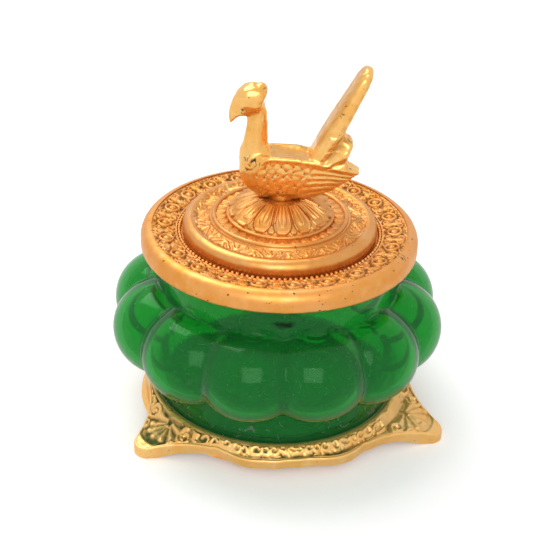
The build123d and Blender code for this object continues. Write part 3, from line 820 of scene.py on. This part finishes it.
def laidPoint(t, angle):  # where a mark of the ruler comes to lie on the base, and how much painted shade it gets there
    key = round(angle, 5)
    if key not in reachAt:
        reachAt[key] = edgeReach(angle)
    sideTurn = abs(fromCorner(degrees(angle)))
    dip = 1 - abs(sin(radians(sideTurn - 27) * 8.2))
    edge = reachAt[key] - base.scallop * dip * ease(25, 29, sideTurn)
    inEdge = edge - base.rim
    band = ceil(t - ruler.slack)
    if band <= 1:
        away = base.ringEnd + (inEdge - base.ringEnd) * t
    elif band == 2:
        away = inEdge + base.rim * sin((t - 1) * pi / 2)
    elif band == 3:
        away = edge
    else:
        away = edge + (base.skirtIn - edge) * (t - 3)
    x, y = away * cos(angle), away * sin(angle)
    ownX, ownY = x - base.shift[0], y - base.shift[1]
    ownOut = hypot(ownX, ownY)
    ownEdge = ownOut + edge - away
    rimTop = skirtTop(edge, ownEdge)
    height = 0.0
    deep = 0.0
    if band <= 1:
        z = skirtTop(away, ownOut)
        off = fromCorner(degrees(atan2(ownY, ownX)))
        height, deep = scrollwork(t, x, y, off, ownOut, inEdge - away, 1.25 * (inEdge - base.ringEnd))
    elif band == 2:
        z = rimTop - base.rim * (1 - cos((t - 1) * pi / 2)) + base.rimBead * sin((t - 1) * pi)
    elif band == 3:
        top = rimTop - base.rim
        z = top + (skirtUnder(ownEdge) - top) * (t - 2)
    else:
        z = skirtUnder(ownOut)
    if t < 2:
        height += base.waver * noise.noise(Vector((x, y, z)) * 0.9)
    return (x, y, max(z, base.floor) + height), deep


socket, ringTop, ringEnd = base.socket, base.ringTop, base.ringEnd
profile = [(base.ledge, base.ledgeUnder, 1.0), (base.ledge, base.ledgeTop, 1.5),
           (socket, base.ledgeTop, 1.5), (socket, ringTop - 0.4, 0.4), (socket + 0.15, ringTop - 0.1, 0.4),
           (socket + 0.5, ringTop, 0.5), (ringEnd - 0.5, ringTop, 0.3),
           (ringEnd, ringTop - 0.15, ruler.uncut)]
marks = [k / ruler.topRows for k in range(1, ruler.topRows + 1)]
marks += [1 + k / ruler.rimRows for k in range(1, 2 * ruler.rimRows + 1)]
marks += [3 + k / ruler.underRows for k in range(1, ruler.underRows + 1)]
profile += [(ruler.start + mark, 0, ruler.uncut) for mark in marks]
bm = turned(profile, base.steps, base.spacing, True)
# painted shade in the carving's ground, kept per vertex
hollow = bm.verts.layers.float.new("hollow")
worn = bm.verts.layers.float.new("worn")
for vert in bm.verts:
    mark = hypot(vert.co.x, vert.co.y) - ruler.start
    if mark >= 0:
        vert.co, vert[hollow] = laidPoint(mark, atan2(vert.co.y, vert.co.x))
        vert[worn] = chipped(vert.co, base.chips)
    elif vert.co.z > ringTop - 0.5:
        vert.co.z += base.waver * noise.noise(vert.co * 0.5)
mendMesh(bm)
makePiece(bm, "scrollworkBase", "stand", "base_casting", baseGilt)

# peacock: body, neck, head, tail and coverts melted into one casting, then its feathers are drawn in
bird = named(
    voxel=0.24, smooth=9, stem=(3.3, 2.8, 62.6, 66.0), tailRoot=(9.1, 74.45), tailLean=64.2, bodySides=36,
    neckSides=24, stemSides=40, waver=0.05, bareDeep=0.25, covertHalf=3.6, knobs=[(-5.9, 92.5, 1.45),
    (-8.1, 92.8, 1.15), (-5.5, 91.0, 0.9)], chips=[(-6.8, -3.8, 73.6, 1.6), (-9.0, -3.0, 74.6, 1.2),
    (-8.4, -3.6, 71.8, 1.3), (17.4, -1.6, 80.2, 1.2), (-5.0, -1.0, 92.4, 0.9), (14.6, -4.3, 87.8, 0.9),
    (15.6, -4.3, 90.0, 0.8)])
bodyRings = [  # place, half width, wing edge height, keel height, back height
    (-11.0, 1.3, 72.3, 69.6, 72.9), (-10.5, 2.5, 73.2, 67.6, 74.4), (-8.8, 3.5, 74.4, 65.2, 76.0),
    (-5.2, 4.15, 75.3, 63.0, 76.0), (-0.5, 4.4, 75.6, 62.6, 75.2), (4.5, 4.35, 75.4, 62.6, 74.7),
    (9.5, 4.0, 74.5, 63.8, 74.4), (13.8, 3.3, 73.2, 66.0, 73.6), (17.3, 2.3, 72.0, 68.4, 72.2),
    (19.6, 1.1, 71.2, 70.3, 71.4)]
neckRings = [  # height, place, half length, half width
    (69.0, -5.8, 4.6, 3.6), (73.0, -6.6, 4.6, 3.7), (75.8, -6.9, 4.2, 3.3), (77.8, -7.1, 3.3, 2.85),
    (80.4, -7.0, 2.9, 2.55), (83.2, -6.75, 2.65, 2.4), (86.0, -6.85, 2.65, 2.45), (88.6, -8.0, 3.0, 2.7)]
headOutline = [
    (-13.9, 82.4), (-14.1, 84.3), (-13.9, 86.9), (-13.1, 89.5), (-11.7, 91.7), (-10.1, 93.1),
    (-8.5, 93.6), (-7.1, 93.5), (-6.0, 93.3), (-4.9, 92.6), (-4.5, 91.4), (-5.1, 90.2), (-5.4, 88.4),
    (-5.6, 86.8), (-7.2, 85.8), (-8.8, 85.3), (-10.1, 85.2), (-11.2, 85.1), (-12.1, 84.4), (-12.9, 83.0)]
tailHalf = [(-3.9, -3.0), (-3.9, 2.0), (-4.4, 9.0), (-4.7, 16.0), (-4.6, 21.6), (-4.0, 25.0), (-2.4, 27.1)]
tailOutline = tailHalf + [(0.0, 27.7)] + [(-x, z) for x, z in reversed(tailHalf)]
covertOutline = [
    (7.6, 71.5), (8.2, 75.0), (9.6, 78.0), (12.0, 80.0), (14.2, 80.8), (16.2, 80.9), (17.4, 80.0),
    (17.7, 78.6), (16.9, 76.9), (16.6, 75.2), (16.9, 73.4), (16.4, 71.6), (12.0, 70.6)]


def ringShape(bm, points):  # a closed ring through the points
    made = bmesh.ops.create_circle(bm, cap_ends=False, segments=len(points), radius=1.0)["verts"]
    for vert, point in zip(made, points):
        vert.co = point
    return list({edge for vert in made for edge in vert.link_edges})


def loft(bm, rings):  # joins rings one after another and closes both ends
    for first, second in zip(rings, rings[1:]):
        bmesh.ops.bridge_loops(bm, edges=first + second)
    for end in (rings[0], rings[-1]):
        bmesh.ops.edgeloop_fill(bm, edges=end)


def puffed(bm, outline, layers, widthAt, place):  # an outline swollen to both sides: shares of width and size
    part = bmesh.new()
    face = part.faces.new([part.verts.new((x, 0, z)) for x, z in outline])
    middle = face.calc_center_median()
    flat = [vert.co.copy() for vert in face.verts]
    for out, size in layers:
        made = bmesh.ops.extrude_face_region(part, geom=[face])["geom"]
        face = [g for g in made if isinstance(g, bmesh.types.BMFace)][0]
        for vert, first in zip(face.verts, flat):
            vert.co = middle + (first - middle) * size
            vert.co.y = widthAt(first) * out
    bmesh.ops.mirror(part, geom=part.verts[:] + part.edges[:] + part.faces[:], matrix=Matrix.Identity(4),
                     merge_dist=0.01, axis="Y")
    bmesh.ops.recalc_face_normals(part, faces=part.faces[:])
    bmesh.ops.transform(part, matrix=place, verts=part.verts[:])
    holder = bpy.data.meshes.new("holder")
    part.to_mesh(holder)
    part.free()
    bm.from_mesh(holder)
    bpy.data.meshes.remove(holder)


def bodyRing(x, wide, edge, keel, back):
    points = []
    for k in range(bird.bodySides):
        turn = fullTurn * k / bird.bodySides
        across, up = cos(turn), sin(turn)
        full = 0.58 if up < 0 else 0.9
        z = edge + (back - edge) * up if up > 0 else edge - (edge - keel) * abs(up) ** 0.72
        points.append((x, wide * copysign(abs(across) ** full, across), z))
    return points


def neckRing(z, x, long, wide):
    turns = [fullTurn * k / bird.neckSides for k in range(bird.neckSides)]
    return [(x + long * cos(turn), wide * sin(turn), z) for turn in turns]


def headWidth(p):
    return (0.8 + 2.2 * ease(-14.0, -10.6, p.x)) * (0.76 + 0.3 * ease(84.0, 88.0, p.z))


def tailWidth(p):
    return 2.6 - 0.8 * ease(0, 24, p.z)


def smoothed(bm, factor):
    axes = {"use_axis_x": True, "use_axis_y": True, "use_axis_z": True}
    bmesh.ops.smooth_vert(bm, verts=bm.verts[:], factor=factor, **axes)


tailX, tailZ = bird.tailRoot
leanCos = cos(radians(bird.tailLean))
leanSin = sin(radians(bird.tailLean))
tailPlace = Matrix(((0, -leanSin, leanCos, tailX), (1, 0, 0, 0), (0, leanCos, leanSin, tailZ), (0, 0, 0, 1)))
bm = bmesh.new()
loft(bm, [ringShape(bm, bodyRing(*ring)) for ring in bodyRings])
loft(bm, [ringShape(bm, neckRing(*ring)) for ring in neckRings])
puffed(bm, headOutline, [(0.5, 0.97), (0.84, 0.85), (1.0, 0.58)], headWidth, Matrix.Identity(4))
puffed(bm, tailOutline, [(0.5, 0.98), (0.84, 0.88), (1.0, 0.62)], tailWidth, tailPlace)
puffed(bm, covertOutline, [(0.6, 0.98), (0.92, 0.88), (1.0, 0.7)], lambda p: bird.covertHalf,
       Matrix.Identity(4))
for x, z, size in bird.knobs:  # knobs of the crest
    spot = Matrix.Translation((x, 0, z))
    bmesh.ops.create_uvsphere(bm, u_segments=16, v_segments=10, radius=size, matrix=spot)
stemWide, stemThin, stemLow, stemHigh = bird.stem
bmesh.ops.create_cone(bm, cap_ends=True, segments=bird.stemSides, radius1=stemWide, radius2=stemThin,
                      depth=stemHigh - stemLow, matrix=Matrix.Translation((0, 0, (stemLow + stemHigh) / 2)))
mendMesh(bm)
partsMesh = bpy.data.meshes.new("birdParts")
bm.to_mesh(partsMesh)
bm.free()
birdParts = bpy.data.objects.new("birdParts", partsMesh)
scene.collection.objects.link(birdParts)
melt = birdParts.modifiers.new("melt", "REMESH")
melt.mode = "VOXEL"
melt.voxel_size = bird.voxel
melted = bpy.data.meshes.new_from_object(birdParts.evaluated_get(bpy.context.evaluated_depsgraph_get()))
bpy.data.objects.remove(birdParts)
bm = bmesh.new()
bm.from_mesh(melted)
bpy.data.meshes.remove(melted)
for _ in range(bird.smooth):
    smoothed(bm, 0.5)

# folded wing on each flank: uneven scales in front, faint long quills to the tip, a rolled upper edge
wing = named(
    above=77.5, ahead=-9.0, rollTop=75.1, rollWide=0.6, rollHigh=0.36, frontWide=0.8, frontHigh=0.16,
    lift=0.12, scaleWide=2.4, scaleRow=1.5, scaleRound=1.8, scaleHigh=0.24, scaleLow=0.14, warp=(0.9, 0.7),
    holeDeep=0.12, holeBare=0.9, quillHigh=0.08, quillStart=0.7, quillWide=(0.7, 0.08), tip=20.3,
    flight=(6.5, 10.5))
tail = named(start=3.5, half=3.0, behind=7.0, barbHigh=0.07, edge=3.9, grime=0.25)
coverts = named(middle=(8.2, 71.5), folds=11.0, high=0.42, grime=0.55)
head = named(
    capLevel=88.2, capHigh=0.2, cheekLevel=86.2, cheekDeep=0.24, cheekGrime=0.25, eye=(-10.5, 87.3),
    eyeSize=(0.2, 0.45), neckX=-7.2, neckFold=0.16)


def wingFeathers(co, side):  # height, how much painted shade and how bare
    x, z = co.x, co.z
    top = wing.rollTop - 0.0105 * max(x + 1.0, 0) ** 2 - 0.03 * max(-x - 1.0, 0) ** 2
    down = top - z
    front = -6.4 - 1.2 * sin(min(max((z - 64.5) / 10.5, 0), 1) * pi) + 2.4 * ease(72.8, 75.4, z)
    inWing = ease(0.0, 2.0, x - front) * ease(0.1, 0.45, side)
    roll = bell(down, wing.rollWide) * ease(-0.1, 0.3, side) * ease(-6.0, -3.6, x)
    frontRoll = bell(x - front - 0.8, wing.frontWide) * ease(68.5, 71.5, z) * ease(0.2, 0.5, side)
    warp = noise.noise_vector(co * 0.4)
    scaleX = x + wing.warp[0] * warp.x
    scaleZ = down + wing.warp[1] * warp.z
    halfScale = wing.scaleWide / 2
    row = int(scaleZ / wing.scaleRow)
    dome = 0.0
    for k in (row - 1, row, row + 1):
        near = (scaleX - halfScale * (k % 2) - 0.3 * sin(k * 2.3) + halfScale) % wing.scaleWide - halfScale
        upDown = scaleZ - wing.scaleRow * (k + 0.5)
        dome = max(dome, 1 - (near * near + upDown ** 2) / wing.scaleRound)
    scales = wing.scaleHigh * sqrt(max(dome, 0.0)) - wing.scaleLow
    quillWide, quillFan = wing.quillWide
    quill = (down - wing.quillStart + 0.2 * warp.z) / (quillWide + quillFan * max(wing.tip - x, 0))
    quills = cos(fullTurn * quill) if quill > 0 else 0.0
    flight = ease(*wing.flight, x + 0.35 * down)
    onScales = inWing * ease(0.3, 1.0, down) * (1 - flight)
    onQuills = inWing * ease(0.3, 1.0, down) * flight
    patchy = ease(-0.12, 0.1, noise.noise(co * 0.6 + Vector((5, 0, 0))))
    holes = (1 - ease(0.16, 0.36, dome)) * patchy * onScales
    height = inWing * wing.lift + onScales * scales + onQuills * wing.quillHigh * quills
    height += wing.rollHigh * roll + wing.frontHigh * frontRoll - wing.holeDeep * holes
    # painted shade between the scales and in the quill grooves
    deep = 0.5 * onScales * (1 - ease(0.1, 0.5, dome)) + 0.3 * onQuills * ease(0.3, 0.9, -0.96 * quills)
    return height, deep, wing.holeBare * holes


def featherHeight(co, normal):
    x, z = co.x, co.z
    side = abs(normal.y)
    along = (x - tailX) * leanCos + (z - tailZ) * leanSin
    across = (z - tailZ) * leanCos - (x - tailX) * leanSin
    height = bird.waver * noise.noise(co * 0.8)
    deep = 0.0
    bare = chipped(co, bird.chips)
    if z < wing.above and x > wing.ahead:
        rise, deep, holes = wingFeathers(co, side)
        height += rise
        bare = max(bare, holes)
    elif along > tail.start and abs(across) < tail.half and x > tail.behind:  # slanting barbs
        barb = 0.5 + 0.5 * cos((along * 0.9 - abs(co.y) * 1.4) * 2.2)
        start = ease(4, 7, along)
        fade = ease(0.3, 1.0, abs(co.y)) * ease(0.3, 0.9, tail.edge - abs(co.y))
        height += tail.barbHigh * barb * start * fade
        # painted shade between the barbs towards the tail's edges
        deep = tail.grime * (1 - barb) * start * ease(0.6, 0.95, abs(across))
    if 8.5 < x < 19 and 71.8 < z < 81.5 and along < 9:  # coverts: folds that fan out from the wing
        outX, outZ = x - coverts.middle[0], z - coverts.middle[1]
        turn = degrees(atan2(outZ, outX))
        fold = cos(radians(turn) * coverts.folds)
        fan = ease(2.5, 5.0, hypot(outX, outZ)) * ease(0.1, 0.5, side + 0.6 * max(normal.x, 0))
        fan *= ease(15, 22, turn) * ease(0, 6, 76 - turn)
        height += coverts.high * fold * fan
        # painted shade in the folds
        deep = max(deep, coverts.grime * fan * ease(0.1, 1.0, -fold))
    if x < -4.4 and z > 83.0:  # helmet cap over the cheek, and the eye
        cheek = bell(z - head.cheekLevel, 1.2) * ease(-12.5, -9.0, x) * ease(0, 2.0, -5.4 - x)
        cheek *= ease(0.2, 0.9, side)
        cap = ease(-0.6, 0.6, z - head.capLevel) * ease(-13.6, -11.5, x)
        height += head.capHigh * cap - head.cheekDeep * cheek
        # painted shade in the concave cheek under the cap
        deep = max(deep, head.cheekGrime * cheek)
        toEye = hypot(x - head.eye[0], z - head.eye[1])
        bare = max(bare, (1 - ease(*head.eyeSize, toEye)) * ease(0.2, 0.5, side))
    if x < -4.0 and 76.0 < z < 85.0:  # soft folds down the neck
        fold = cos(atan2(co.y, x - head.neckX) * 5)
        height += head.neckFold * fold * ease(76, 79, z) * ease(0, 2, 85 - z)
    if -3.0 < x < 9.0 and 73.0 < z < 77.0:  # painted shade on the upward-facing flat back and the front of the tail
        deep = max(deep, 0.3 * ease(0.6, 0.95, normal.z))
    # painted shade on the side of the tail that faces forward
    if along > 4 and x > tail.behind:
        deep = max(deep, 0.28 * ease(0.2, 0.7, -normal.x))
    if z < 65.2 and hypot(x, co.y) < 5.5 and (normal.z < -0.2 or z < 63.9):
        deep = max(deep, 0.5)  # painted shadow under the belly and on the stem
    return height - bird.bareDeep * bare, min(deep, 1.0), bare


emboss(bm, featherHeight)
smoothed(bm, 0.3)
makePiece(bm, "castPeacock", "lid", "peacock", birdGilt, roundSharp)
